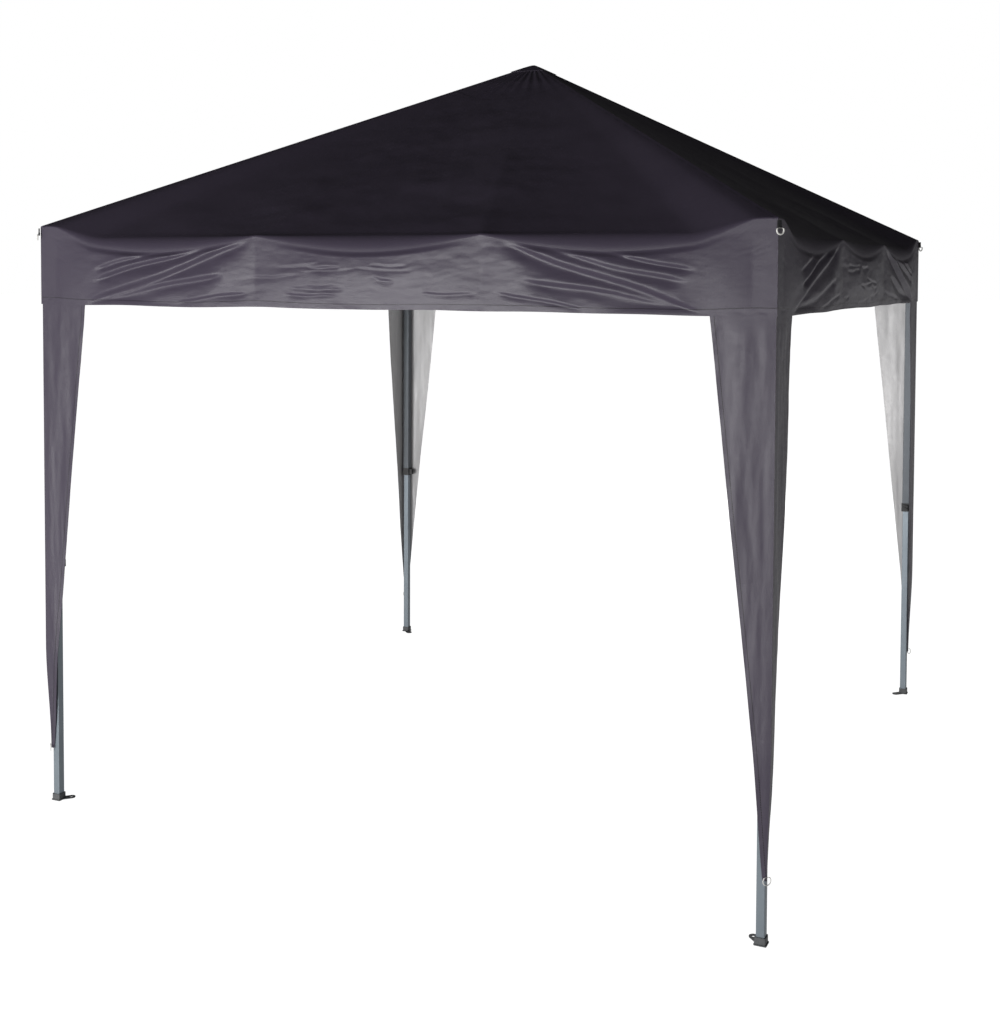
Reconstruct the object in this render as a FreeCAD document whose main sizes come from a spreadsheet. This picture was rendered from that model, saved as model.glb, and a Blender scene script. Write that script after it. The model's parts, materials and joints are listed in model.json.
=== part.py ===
"""Pop up gazebo, 2.5 m square: four telescopic legs, a scissor truss on each side, four folding
roof arms that carry a centre mast, and a canopy of four panels with a valance and leg curtains.

Millimetres. The origin is on the ground under the mast, +Z is up, the front side faces -Y.
Every side and every corner is one design, turned a quarter turn at a time about the mast.
"""

import FreeCAD, Part
import os

PART_FOLDER = "parts"
SIDES = ["front", "right", "back", "left"]
# The corner with the same number is where that side starts, going round anticlockwise.
CORNERS = ["front_left", "front_right", "back_right", "back_left"]
UNITS = (1, 2, 3)

SIZES = {
    # frame
    "leg_spacing": (2440, "leg axis to leg axis along a side"),
    "pivot_height": (1905, "top pivots of legs, trusses and hub"),
    "pivot_reach": (50, "leg axis to the truss pivots, along a side"),
    "corner_reach": (42, "leg axis to the arm pivots, along the diagonal"),
    "rest_angle": (14.5, "slope of every bar when the frame stands open, degrees"),
    "bar_wide": (20, "depth of the flat truss tube"),
    "bar_thick": (10, "thickness of the flat truss tube"),
    "bar_wall": (1, "wall of the flat truss tube"),
    "layer_gap": (1, "washer gap between two bars that cross"),
    # rivets
    "rivet_radius": (3, "rivet shank"),
    "hole_radius": (3.3, "rivet hole"),
    "head_radius": (5.5, "rivet head"),
    "head_thick": (1.8, "rivet head"),
    "head_gap": (0.2, "play under a rivet head"),
    # legs
    "leg_side": (30, "upper leg tube, square"),
    "leg_wall": (1.2, "wall of both leg tubes"),
    "leg_end": (800, "lower end of the upper leg tube"),
    "leg_top": (1932, "upper end of the upper leg tube"),
    "lower_side": (25, "lower leg tube, square"),
    "lower_top": (1060, "upper end of the lower leg tube, inside the upper one"),
    "tube_corner": (2.5, "outside corner radius of the leg tubes"),
    "bracket_corner": (3, "outside corner radius of the top brackets and sliders"),
    "bracket_wall": (3.5, "wall of the plastic brackets around a leg"),
    "bracket_tall": (39, "top bracket sleeve below the leg's end"),
    "bracket_lid": (5, "top bracket above the leg's end"),
    "slider_tall": (40, "slider sleeve"),
    "slider_play": (0.4, "slider to leg, each side"),
    # leg lock
    "collar_tall": (35, "lock collar"),
    "collar_lip": (10, "part of the collar below the upper tube"),
    "collar_wall": (2.5, "lock collar"),
    "collar_corner": (2.5, "outside corner radius of the lock collar"),
    "collar_play": (0.3, "collar lip to lower tube, each side"),
    "boss_wide": (20, "lock button boss"),
    "boss_tall": (24, "lock button boss"),
    "boss_deep": (13.5, "lock button boss, out from the collar"),
    "button_radius": (6, "lock button"),
    "button_play": (0.3, "lock button in its boss"),
    "button_travel": (4, "lock button, and how far it stands out"),
    "button_gap": (0.2, "pressed button to the leg tube"),
    "button_bevel": (1.5, "edge of the button's thumb face"),
    # feet
    "foot_side": (36, "foot plate, square"),
    "foot_corner": (4, "corner radius of the foot plate"),
    "foot_plate": (3, "foot plate thickness"),
    "foot_tall": (22, "foot, to the top of its sleeve"),
    "foot_sleeve": (31, "outside of the foot sleeve, square"),
    "sleeve_corner": (2.5, "outside corner radius of the foot sleeve"),
    "peg_reach": (40, "leg axis to the peg hole, along the diagonal"),
    "peg_tab": (13, "radius of the tab around the peg hole"),
    "peg_hole": (5.5, "radius of the peg hole"),
    # hub, mast and pole
    "hub_radius": (16.5, "hub body"),
    "hub_tall": (44, "hub body"),
    "mast_radius": (12.5, "mast tube outside"),
    "mast_wall": (2, "mast tube"),
    "mast_low": (1690, "lower end of the mast tube"),
    "mast_top": (2020, "upper end of the mast tube"),
    "press_play": (0.05, "between two round pieces that are pressed together"),
    "pole_radius": (9.5, "peak pole"),
    "pole_wall": (1.2, "peak pole"),
    "pole_low": (1720, "lower end of the peak pole"),
    "pole_top": (2560, "upper end of the peak pole, under the cap"),
    "cap_radius": (30, "rim of the peak cap"),
    "cap_tip": (8, "top of the peak cap"),
    "cap_tall": (18, "cone of the peak cap"),
    "cap_socket": (13, "outside of the socket under the cap"),
    "cap_socket_tall": (25, "socket under the cap"),
    # canopy
    "fabric_half": (1250, "mast axis to the outside of the valance"),
    "fabric_thick": (1, "cloth with its hems"),
    "eave": (1950, "height of the eave"),
    "peak": (2590, "height of the roof's point"),
    "valance_end": (1690, "lower edge of the valance"),
    "curtain_wide": (182, "leg curtain at the valance, each side of the corner"),
    "curtain_tip": (12, "leg curtain at its lower end, each side of the corner"),
    "curtain_end": (180, "height of the curtain's lower end"),
    "seam_play": (0.3, "between two panels at a corner"),
    "ring_radius": (9, "guy ring, middle of its wire"),
    "ring_wire": (2, "guy ring, radius of its wire"),
    "ring_drop": (32, "eave to the middle of the guy ring"),
    "ring_play": (1, "canopy corner to the guy ring"),
    # cutting
    "past": (1, "how far a cutter or a joined piece reaches into its neighbour"),
}

doc = FreeCAD.newDocument("pop_up_gazebo")
sheet = doc.addObject("Spreadsheet::Sheet", "sizes")
for row, (alias, (number, note)) in enumerate(SIZES.items(), start=1):
    sheet.set(f"A{row}", note)
    sheet.set(f"B{row}", str(number))
    sheet.setAlias(f"B{row}", alias)
doc.recompute()

# What follows from the driving dimensions, as expressions on the sheet.
HALF_SPACING = "(sizes.leg_spacing / 2)"
BAR_SPAN = "((sizes.leg_spacing - 2 * sizes.pivot_reach) / 3)"
BAR_LENGTH = f"({BAR_SPAN} / cos(sizes.rest_angle))"
BAR_DROP = f"({BAR_SPAN} * tan(sizes.rest_angle))"
ARM_LENGTH = f"({BAR_LENGTH} * 3 / sqrt(8))"
ARM_SPAN = f"({ARM_LENGTH} * cos(sizes.rest_angle))"
ARM_DROP = f"({ARM_LENGTH} * sin(sizes.rest_angle))"
BRACE_LENGTH = f"({BAR_LENGTH} / 2)"
HUB_REACH = "(sqrt(2) * sizes.pivot_reach - sizes.corner_reach)"
ROOF_SKIN = "(sizes.fabric_thick * sqrt(1 + pow((sizes.peak - sizes.eave) / sizes.fabric_half; 2)))"
OUTER_LAYER = -1
INNER_LAYER = 1

Z_AXIS = FreeCAD.Vector(0, 0, 1)
TURN_FOR_AXIS = {
    "y": FreeCAD.Rotation(FreeCAD.Vector(1, 0, 0), -90),
    "z": FreeCAD.Rotation(),
}


def value(expression):
    """The number that an expression on the sheet gives now."""
    result = sheet.evalExpression(expression)
    return float(getattr(result, "Value", result))


def primitive(kind, name, sizes, base, turn=None):
    """A Part primitive with its sizes and its base point bound to expressions."""
    piece = doc.addObject(kind, name)
    if turn is not None:
        piece.Placement = FreeCAD.Placement(FreeCAD.Vector(), turn)
    for size, expression in sizes.items():
        piece.setExpression(size, expression)
    for axis, expression in zip("xyz", base):
        piece.setExpression(f"Placement.Base.{axis}", expression)
    return piece


def block(name, x, y, z):
    """A box between a low and a high expression along each axis."""
    spans = {
        size: f"({high}) - ({low})"
        for size, (low, high) in zip(("Length", "Width", "Height"), (x, y, z))
    }
    return primitive("Part::Box", name, spans, (x[0], y[0], z[0]))


def square_block(name, side, z):
    """A square box about the Z axis."""
    return block(name, (f"-({side}) / 2", f"({side}) / 2"), (f"-({side}) / 2", f"({side}) / 2"), z)


def round_bar(name, radius, span, centre=("0", "0"), along="z"):
    """A cylinder along one axis, from span[0] to span[1], centred on the other two axes."""
    base = dict(zip([axis for axis in "xyz" if axis != along], centre))
    base[along] = span[0]
    return primitive(
        "Part::Cylinder",
        name,
        {"Radius": radius, "Height": f"({span[1]}) - ({span[0]})"},
        [base[axis] for axis in "xyz"],
        TURN_FOR_AXIS[along],
    )


def fuse(name, *pieces):
    joined = doc.addObject("Part::MultiFuse", name)
    joined.Shapes = list(pieces)
    joined.Refine = True
    return joined


def cut(name, base, *tools):
    result = doc.addObject("Part::Cut", name)
    result.Base = base
    result.Tool = tools[0] if len(tools) == 1 else fuse(f"{name}_tools", *tools)
    return result


def common(name, first, second):
    result = doc.addObject("Part::Common", name)
    result.Base = first
    result.Tool = second
    return result


def rounded(name, base, radius):
    """Rounds the upright edges of a box."""
    doc.recompute()
    upright = [
        number
        for number, edge in enumerate(base.Shape.Edges, start=1)
        if edge.tangentAt(edge.FirstParameter).isParallel(Z_AXIS, 1e-6)
    ]
    result = doc.addObject("Part::Fillet", name)
    result.Base = base
    result.Edges = [(number, radius, radius) for number in upright]
    return result


def placed(x, y, z, yaw=0.0, pitch=0.0):
    """A placement that tips a piece about its own Y axis, then turns it about Z."""
    turn = FreeCAD.Rotation(Z_AXIS, yaw) * FreeCAD.Rotation(FreeCAD.Vector(0, 1, 0), pitch)
    return FreeCAD.Placement(FreeCAD.Vector(x, y, z), turn)


def group(name, members, placement=None):
    """Separate solids held together in one place."""
    result = doc.addObject("Part::Compound", name)
    result.Links = list(members)
    if placement is not None:
        result.Placement = placement
    return result


NODES = []


def node(name, members, placement=None):
    """One named sub-part of the gazebo."""
    result = group(name, members, placement)
    result.Label = name
    NODES.append(result)


def layer(number, low, high):
    """The span across a frame plane of something in the outer or the inner layer of bars."""
    span = (f"sizes.layer_gap / 2 + ({low})", f"sizes.layer_gap / 2 + ({high})")
    if number == INNER_LAYER:
        return span
    return (f"-({span[1]})", f"-({span[0]})")


# --- bars, rivets and lugs ---------------------------------------------------------------------


def flat_bar(name, length, layer_number, holes):
    """A flat tube with round ends along +X from its first pivot, with rivet holes across it."""
    half = "sizes.bar_wide / 2"
    inside = f"{half} - sizes.bar_wall"
    full = layer(layer_number, "0", "sizes.bar_thick")
    hollow = layer(layer_number, "sizes.bar_wall", "sizes.bar_thick - sizes.bar_wall")
    reach = (f"-{half}", f"{length} + {half}")
    past = (f"-{half} - sizes.past", f"{length} + {half} + sizes.past")
    tube = cut(
        f"{name}_tube",
        block(f"{name}_outside", reach, full, (f"-{half}", half)),
        block(f"{name}_inside", past, hollow, (f"-({inside})", inside)),
    )
    outline = fuse(
        f"{name}_outline",
        block(f"{name}_straight", ("0", length), full, (f"-{half}", half)),
        round_bar(f"{name}_first_end", half, full, ("0", "0"), "y"),
        round_bar(f"{name}_last_end", half, full, (length, "0"), "y"),
    )
    drills = [
        round_bar(f"{name}_hole", "sizes.hole_radius", full, (place, "0"), "y") for place in holes
    ]
    return cut(name, common(f"{name}_rounded", tube, outline), *drills)


def rivet(name, place):
    """A rivet through both layers, across the frame plane, with a head at each end."""
    seat = "sizes.layer_gap / 2 + sizes.bar_thick + sizes.head_gap"
    shank = round_bar(f"{name}_shank", "sizes.rivet_radius", (f"-({seat})", seat), (place, "0"), "y")
    heads = []
    for side in (OUTER_LAYER, INNER_LAYER):
        heads.append(
            primitive(
                "Part::Cone",
                f"{name}_head",
                {
                    "Radius1": "sizes.head_radius",
                    "Radius2": "sizes.rivet_radius",
                    "Height": "sizes.head_thick",
                },
                (place, f"{side} * ({seat})", "0"),
                FreeCAD.Rotation(FreeCAD.Vector(1, 0, 0), -90 * side),
            )
        )
    return fuse(name, shank, *heads)


def lug(name, reach, layer_number, yaw):
    """A solid ear beside the end of a bar, with its rivet hole, pointing along the yaw angle."""
    half = "sizes.bar_wide / 2"
    span = layer(layer_number, "0", "sizes.bar_thick")
    ear = fuse(
        f"{name}_ear",
        block(f"{name}_arm", ("0", reach), span, (f"-{half}", half)),
        round_bar(f"{name}_end", half, span, (reach, "0"), "y"),
    )
    hole = round_bar(f"{name}_hole", "sizes.hole_radius", span, (reach, "0"), "y")
    return group(name, [cut(f"{name}_drilled", ear, hole)], placed(0, 0, 0, yaw))


def corner_lugs(name, layer_number):
    """The three ears of a leg bracket: along both sides and along the diagonal."""
    return [
        lug(f"{name}_lug_start", "sizes.pivot_reach", layer_number, 0),
        lug(f"{name}_lug_inward", "sizes.corner_reach", layer_number, 45),
        lug(f"{name}_lug_end", "sizes.pivot_reach", layer_number, 90),
    ]


falling_bar = flat_bar("falling_bar", BAR_LENGTH, OUTER_LAYER, ["0", BRACE_LENGTH, BAR_LENGTH])
rising_bar = flat_bar("rising_bar", BAR_LENGTH, INNER_LAYER, ["0", BRACE_LENGTH, BAR_LENGTH])
outer_arm_bar = flat_bar("outer_arm_bar", ARM_LENGTH, OUTER_LAYER, ["0", BRACE_LENGTH, ARM_LENGTH])
inner_arm_bar = flat_bar("inner_arm_bar", ARM_LENGTH, INNER_LAYER, ["0", ARM_LENGTH])
brace_bar = flat_bar("brace_bar", BRACE_LENGTH, INNER_LAYER, ["0", BRACE_LENGTH])

rivet_first = rivet("rivet_first", "0")
rivet_middle = rivet("rivet_middle", BRACE_LENGTH)
rivet_bar_end = rivet("rivet_bar_end", BAR_LENGTH)
rivet_arm_end = rivet("rivet_arm_end", ARM_LENGTH)

# --- legs --------------------------------------------------------------------------------------


def square_tube(name, side, z):
    """A square tube about the Z axis with rounded outside corners."""
    radius = value("sizes.tube_corner")
    wall = value("sizes.leg_wall")
    outside = rounded(f"{name}_skin", square_block(f"{name}_outside", side, z), radius)
    past = (f"{z[0]} - sizes.past", f"{z[1]} + sizes.past")
    bore = square_block(f"{name}_inside", f"{side} - 2 * sizes.leg_wall", past)
    return cut(name, outside, rounded(f"{name}_bore", bore, radius - wall))


def top_bracket():
    """The moulded cap on a leg, with the ears that carry two trusses and a roof arm."""
    low = "sizes.leg_top - sizes.bracket_tall"
    top = "sizes.leg_top + sizes.bracket_lid"
    side = "sizes.leg_side + 2 * sizes.bracket_wall"
    corner = value("sizes.bracket_corner")
    shell = rounded("bracket_skin", square_block("bracket_shell", side, (low, top)), corner)
    bore = square_block("bracket_bore", "sizes.leg_side", (f"{low} - sizes.past", "sizes.leg_top"))
    lugs = group(
        "bracket_lugs",
        [fuse("bracket_ears", *corner_lugs("bracket", INNER_LAYER))],
        placed(0, 0, value("sizes.pivot_height")),
    )
    return cut("top_bracket", fuse("bracket_solid", shell, lugs), bore)


def lock_collar():
    """The moulded collar on the upper tube's end, with a bored boss for the lock button."""
    low = "sizes.leg_end - sizes.collar_lip"
    high = f"{low} + sizes.collar_tall"
    side = "sizes.leg_side + 2 * sizes.collar_wall"
    skin = "sizes.leg_side / 2 + sizes.collar_wall"
    middle = f"{low} + sizes.collar_tall / 2"
    corner = value("sizes.collar_corner")
    shell = rounded("collar_skin", square_block("collar_shell", side, (low, high)), corner)
    boss = block(
        "collar_boss",
        ("-sizes.boss_wide / 2", "sizes.boss_wide / 2"),
        ("sizes.leg_side / 2", f"{skin} + sizes.boss_deep"),
        (f"{middle} - sizes.boss_tall / 2", f"{middle} + sizes.boss_tall / 2"),
    )
    tube_seat = square_block(
        "collar_seat", "sizes.leg_side", ("sizes.leg_end", f"{high} + sizes.past")
    )
    lip_bore = square_block(
        "collar_lip_bore",
        "sizes.lower_side + 2 * sizes.collar_play",
        (f"{low} - sizes.past", "sizes.leg_end + sizes.past"),
    )
    button_bore = round_bar(
        "collar_button_bore",
        "sizes.button_radius + sizes.button_play",
        ("sizes.leg_side / 2 - sizes.past", f"{skin} + sizes.boss_deep + sizes.past"),
        ("0", middle),
        "y",
    )
    return cut("lock_collar", fuse("collar_solid", shell, boss), tube_seat, lip_bore, button_bore)


def lock_button():
    """The push button in the collar's boss, with a domed thumb face."""
    face = "sizes.leg_side / 2 + sizes.collar_wall + sizes.boss_deep"
    middle = "sizes.leg_end - sizes.collar_lip + sizes.collar_tall / 2"
    start = "sizes.leg_side / 2 + sizes.button_travel + sizes.button_gap"
    edge = f"{face} + sizes.button_travel - sizes.button_bevel"
    stem = round_bar("button_stem", "sizes.button_radius", (start, edge), ("0", middle), "y")
    crown = primitive(
        "Part::Cone",
        "button_crown",
        {
            "Radius1": "sizes.button_radius",
            "Radius2": "sizes.button_radius - sizes.button_bevel",
            "Height": "sizes.button_bevel",
        },
        ("0", edge, middle),
        TURN_FOR_AXIS["y"],
    )
    return fuse("lock_button", stem, crown)


def slider():
    """The sleeve that slides on the leg, with ears for the lower truss ends and the brace.

    Its own height zero is the height of its pivots.
    """
    bore_side = "sizes.leg_side + 2 * sizes.slider_play"
    side = f"{bore_side} + 2 * sizes.bracket_wall"
    low = "-sizes.slider_tall / 2"
    high = "sizes.slider_tall / 2"
    corner = value("sizes.bracket_corner")
    shell = rounded("slider_skin", square_block("slider_shell", side, (low, high)), corner)
    ears = fuse("slider_ears", *corner_lugs("slider", OUTER_LAYER))
    bore = square_block("slider_bore", bore_side, (f"{low} - sizes.past", f"{high} + sizes.past"))
    return cut("slider", fuse("slider_solid", shell, ears), bore)


def foot():
    """The foot: a sleeve on a plate whose inward tab has a hole for a ground peg."""
    plate_top = "sizes.foot_plate"
    base = square_block("foot_base", "sizes.foot_side", ("0", plate_top))
    plate = rounded("foot_corners", base, value("sizes.foot_corner"))
    tab = fuse(
        "foot_tab",
        block(
            "foot_tab_neck",
            ("0", "sizes.peg_reach"),
            ("-sizes.peg_tab", "sizes.peg_tab"),
            ("0", plate_top),
        ),
        round_bar("foot_tab_end", "sizes.peg_tab", ("0", plate_top), ("sizes.peg_reach", "0")),
    )
    through = ("-sizes.past", f"{plate_top} + sizes.past")
    hole = round_bar("foot_peg_hole", "sizes.peg_hole", through, ("sizes.peg_reach", "0"))
    drilled_tab = group("foot_drilled_tab", [cut("foot_tab_drilled", tab, hole)], placed(0, 0, 0, 45))
    sleeve = rounded(
        "foot_sleeve_skin",
        square_block("foot_sleeve", "sizes.foot_sleeve", ("0", "sizes.foot_tall")),
        value("sizes.sleeve_corner"),
    )
    above = "sizes.foot_tall + sizes.past"
    seat = square_block("foot_seat", "sizes.lower_side", (plate_top, above))
    return cut("foot", fuse("foot_solid", plate, drilled_tab, sleeve), seat)


leg_tube = square_tube("leg_tube", "sizes.leg_side", ("sizes.leg_end", "sizes.leg_top"))
leg_bracket = top_bracket()
leg_collar = lock_collar()
leg_button = lock_button()
leg_slider = slider()
lower_tube = square_tube("lower_tube", "sizes.lower_side", ("sizes.foot_plate", "sizes.lower_top"))
leg_foot = foot()

# --- hub, mast and pole ------------------------------------------------------------------------


def centre_hub():
    """The moulded hub that the four inner arms hang on, around the mast tube."""
    low = "-sizes.hub_tall / 2"
    high = "sizes.hub_tall / 2"
    body = round_bar("hub_body", "sizes.hub_radius", (low, high))
    lugs = [
        lug(f"hub_lug_{corner}", HUB_REACH, INNER_LAYER, 225 + 90 * number)
        for number, corner in enumerate(CORNERS)
    ]
    through = (f"{low} - sizes.past", f"{high} + sizes.past")
    bore = round_bar("hub_bore", "sizes.mast_radius + sizes.press_play", through)
    return cut("hub", fuse("hub_solid", body, *lugs), bore)


def round_tube(name, radius, wall, z):
    past = (f"{z[0]} - sizes.past", f"{z[1]} + sizes.past")
    outside = round_bar(f"{name}_outside", radius, z)
    return cut(name, outside, round_bar(f"{name}_inside", f"{radius} - {wall}", past))


def peak_cap():
    """The blunt cone that spreads the mast's push on the roof cloth."""
    cone = primitive(
        "Part::Cone",
        "cap_cone",
        {"Radius1": "sizes.cap_radius", "Radius2": "sizes.cap_tip", "Height": "sizes.cap_tall"},
        ("0", "0", "sizes.pole_top"),
    )
    low = "sizes.pole_top - sizes.cap_socket_tall"
    socket = round_bar("cap_socket", "sizes.cap_socket", (low, "sizes.pole_top + sizes.past"))
    seat = (f"{low} - sizes.past", "sizes.pole_top")
    bore = round_bar("cap_bore", "sizes.pole_radius + sizes.press_play", seat)
    return cut("cap", fuse("cap_solid", cone, socket), bore)


# --- canopy ------------------------------------------------------------------------------------

UPRIGHT = FreeCAD.Rotation(FreeCAD.Vector(1, 0, 0), 90)


def upright_wedge(name, z, x_low, x_high, y_low, y_high):
    """A wedge that rises from z[0] to z[1].

    x_low and x_high are each a low and a high expression, at z[0] and at z[1]; y_low and y_high
    are the same across, measured towards -Y.
    """
    ends = {
        "Ymin": z[0],
        "Ymax": z[1],
        "Xmin": x_low[0],
        "Xmax": x_low[1],
        "X2min": x_high[0],
        "X2max": x_high[1],
        "Zmin": y_low[0],
        "Zmax": y_low[1],
        "Z2min": y_high[0],
        "Z2max": y_high[1],
    }
    return primitive("Part::Wedge", name, ends, ("0", "0", "0"), UPRIGHT)


def roof_house(name, half, eave, peak, low):
    """A box with a pyramid on it."""
    across = (f"-{half}", half)
    return fuse(
        name,
        block(f"{name}_walls", across, across, (low, eave)),
        upright_wedge(f"{name}_roof", (eave, peak), across, ("0", "0"), across, ("0", "0")),
    )


def curtain(name, first, last):
    """A leg curtain half: wide at the valance, nearly a point at its lower end."""
    across = ("sizes.fabric_half - sizes.fabric_thick", "sizes.fabric_half")
    heights = ("sizes.curtain_end", "sizes.valance_end + sizes.past")
    return upright_wedge(name, heights, first, last, across, across)


def front_canopy():
    """The front panel: its roof triangle, its valance and its half of two leg curtains."""
    half = "sizes.fabric_half"
    outside = roof_house("canopy_outside", half, "sizes.eave", "sizes.peak", "sizes.valance_end")
    below = "sizes.valance_end - sizes.past"
    inside = common(
        "canopy_inside",
        roof_house(
            "canopy_room",
            half,
            f"sizes.eave - {ROOF_SKIN}",
            f"sizes.peak - {ROOF_SKIN}",
            below,
        ),
        square_block("canopy_room_walls", f"2 * ({half} - sizes.fabric_thick)", (below, "sizes.peak")),
    )
    shell = cut("canopy_shell", outside, inside)
    start = curtain(
        "curtain_start",
        (f"-{half}", f"-{half} + sizes.curtain_tip"),
        (f"-{half}", f"-{half} + sizes.curtain_wide"),
    )
    end = curtain(
        "curtain_end",
        (f"{half} - sizes.curtain_tip", half),
        (f"{half} - sizes.curtain_wide", half),
    )
    # the quarter of the plan that belongs to the front side, a little short of its neighbours
    reach = f"({half} + sizes.past)"
    above = "sizes.peak + sizes.past"
    quarter = primitive(
        "Part::Wedge",
        "canopy_quarter",
        {
            "Xmin": f"-{reach}",
            "Xmax": reach,
            "Ymin": f"-{reach} - sizes.seam_play",
            "Ymax": "-sizes.seam_play",
            "Zmin": "0",
            "Zmax": above,
            "X2min": "0",
            "X2max": "0",
            "Z2min": "0",
            "Z2max": above,
        },
        ("0", "0", "0"),
    )
    return common("front_panel", fuse("canopy_cloth", shell, start, end), quarter)


def guy_ring():
    """The plastic ring at the corner where a side starts, just below the eave."""
    reach = "-sizes.fabric_half - (sizes.ring_play + sizes.ring_radius + sizes.ring_wire) / sqrt(2)"
    return primitive(
        "Part::Torus",
        "ring",
        {"Radius1": "sizes.ring_radius", "Radius2": "sizes.ring_wire"},
        (reach, reach, "sizes.eave - sizes.ring_drop"),
        FreeCAD.Rotation(FreeCAD.Vector(1, -1, 0), 90),
    )


# --- the whole gazebo --------------------------------------------------------------------------


def build_trusses():
    """Three scissor units on each side. The rivets travel with the falling bars, and at the legs
    also with the rising ones."""
    half = value(HALF_SPACING)
    span = value(BAR_SPAN)
    top = value("sizes.pivot_height")
    low = top - value(BAR_DROP)
    angle = value("sizes.rest_angle")
    first = value("sizes.pivot_reach") - half
    falling_members = [falling_bar, rivet_first, rivet_middle, rivet_bar_end]
    rising_members = {1: [rising_bar, rivet_first], 2: [rising_bar], 3: [rising_bar, rivet_bar_end]}
    for number, side in enumerate(SIDES):
        turn = placed(0, 0, 0, 90 * number)
        for unit in UNITS:
            start = first + span * (unit - 1)
            falling = turn * placed(start, -half, top, 0, angle)
            rising = turn * placed(start, -half, low, 0, -angle)
            node(f"{side}_truss_{unit}_falling", falling_members, falling)
            node(f"{side}_truss_{unit}_rising", rising_members[unit], rising)


def build_corners():
    """Legs, sliders and roof arms, one set at each corner."""
    half = value(HALF_SPACING)
    top = value("sizes.pivot_height")
    low = top - value(BAR_DROP)
    angle = value("sizes.rest_angle")
    reach = value("sizes.corner_reach")
    elbow_reach = reach + value(ARM_SPAN)
    elbow_height = top - value(ARM_DROP)
    for number, corner in enumerate(CORNERS):
        at_leg = placed(0, 0, 0, 90 * number) * placed(-half, -half, 0)
        inward = at_leg * placed(0, 0, 0, 45)
        node(f"leg_{corner}", [leg_tube, leg_bracket, leg_collar], at_leg)
        node(f"lower_leg_{corner}", [lower_tube, leg_foot], at_leg)
        node(f"leg_lock_{corner}", [leg_button], at_leg)
        node(f"slider_{corner}", [leg_slider], at_leg * placed(0, 0, low))
        node(
            f"outer_arm_{corner}",
            [outer_arm_bar, rivet_first, rivet_arm_end],
            inward * placed(reach, 0, top, 0, angle),
        )
        node(
            f"inner_arm_{corner}",
            [inner_arm_bar, rivet_arm_end],
            inward * placed(elbow_reach, 0, elbow_height, 0, -angle),
        )
        node(
            f"brace_{corner}",
            [brace_bar, rivet_first, rivet_middle],
            inward * placed(reach, 0, low, 0, -angle),
        )


def build_centre():
    """Hub and mast tube, and the pole and cap that hold up the roof."""
    mast = round_tube(
        "mast", "sizes.mast_radius", "sizes.mast_wall", ("sizes.mast_low", "sizes.mast_top")
    )
    pole = round_tube(
        "pole", "sizes.pole_radius", "sizes.pole_wall", ("sizes.pole_low", "sizes.pole_top")
    )
    node("centre_hub", [centre_hub()], placed(0, 0, value("sizes.pivot_height")))
    node("mast_tube", [mast])
    node("peak_pole", [pole])
    node("peak_cap", [peak_cap()])


def build_canopy():
    members = [front_canopy(), guy_ring()]
    for number, side in enumerate(SIDES):
        node(f"canopy_{side}", members, placed(0, 0, 0, 90 * number))


def check():
    """Stops if anything in the document failed or a sub-part's shape isn't sound."""
    for item in doc.Objects:
        if {"Invalid", "Error"} & set(item.State):
            raise RuntimeError(f"{item.Name}: {item.State}")
    for item in NODES:
        if item.Shape.isNull() or not item.Shape.isValid() or not item.Shape.Solids:
            raise RuntimeError(f"{item.Label} has no valid shape")


def write():
    os.makedirs(PART_FOLDER, exist_ok=True)
    for item in NODES:
        item.Shape.exportStep(os.path.join(PART_FOLDER, f"{item.Label}.step"))


build_trusses()
build_corners()
build_centre()
build_canopy()
doc.recompute()
check()
write()
print(f"{len(NODES)} sub-parts written, bars {value(BAR_LENGTH):.2f} mm, arms {value(ARM_LENGTH):.2f} mm")
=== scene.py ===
"""Pop up gazebo: the cloth of the canopy, its rings and loops, and the finish of every piece."""

import json
import math
import random

import bpy
from mathutils import Matrix, Vector, noise


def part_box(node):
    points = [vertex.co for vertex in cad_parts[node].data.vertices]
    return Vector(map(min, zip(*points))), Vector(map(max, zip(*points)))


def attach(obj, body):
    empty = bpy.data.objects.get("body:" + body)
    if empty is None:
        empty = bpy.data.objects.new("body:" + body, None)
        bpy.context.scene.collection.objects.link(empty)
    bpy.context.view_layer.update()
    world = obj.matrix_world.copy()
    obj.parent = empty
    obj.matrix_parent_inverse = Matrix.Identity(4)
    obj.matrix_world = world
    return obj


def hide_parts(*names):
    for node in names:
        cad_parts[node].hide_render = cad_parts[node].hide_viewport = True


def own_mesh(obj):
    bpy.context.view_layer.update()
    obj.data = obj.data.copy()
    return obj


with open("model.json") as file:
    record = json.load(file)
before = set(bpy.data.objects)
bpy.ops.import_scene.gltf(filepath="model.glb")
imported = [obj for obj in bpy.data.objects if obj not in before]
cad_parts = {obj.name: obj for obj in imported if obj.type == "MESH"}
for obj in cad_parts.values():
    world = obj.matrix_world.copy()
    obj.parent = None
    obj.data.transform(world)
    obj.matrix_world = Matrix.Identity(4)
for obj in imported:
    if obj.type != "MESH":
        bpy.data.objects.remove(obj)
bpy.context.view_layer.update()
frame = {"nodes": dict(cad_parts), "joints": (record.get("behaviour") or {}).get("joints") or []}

SIDES = ["front", "right", "back", "left"]
CORNERS = ["front_left", "front_right", "back_right", "back_left"]

# --- places -------------------------------------------------------------------------------------


def joint_place(name):
    """Where a joint of the frame is at rest."""
    return next(Vector(joint["pos_m"]) for joint in frame["joints"] if joint["name"] == name)


CANOPY_LOW, CANOPY_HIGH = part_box("canopy_front")
LEG_LOW, LEG_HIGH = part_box("leg_front_right")
BAR_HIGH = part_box("front_truss_1_falling")[1]

# The roof: half its width at the eave, its heights, the rim of the peak cap and its slope.
HALF = 1.25
PEAK = CANOPY_HIGH.z
EAVE = 1.95
RIM = -joint_place("canopy_fold_front").y
SLOPE = math.atan2(PEAK - EAVE, HALF)
SLOPE_LENGTH = (HALF - RIM) / math.cos(SLOPE)

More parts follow.
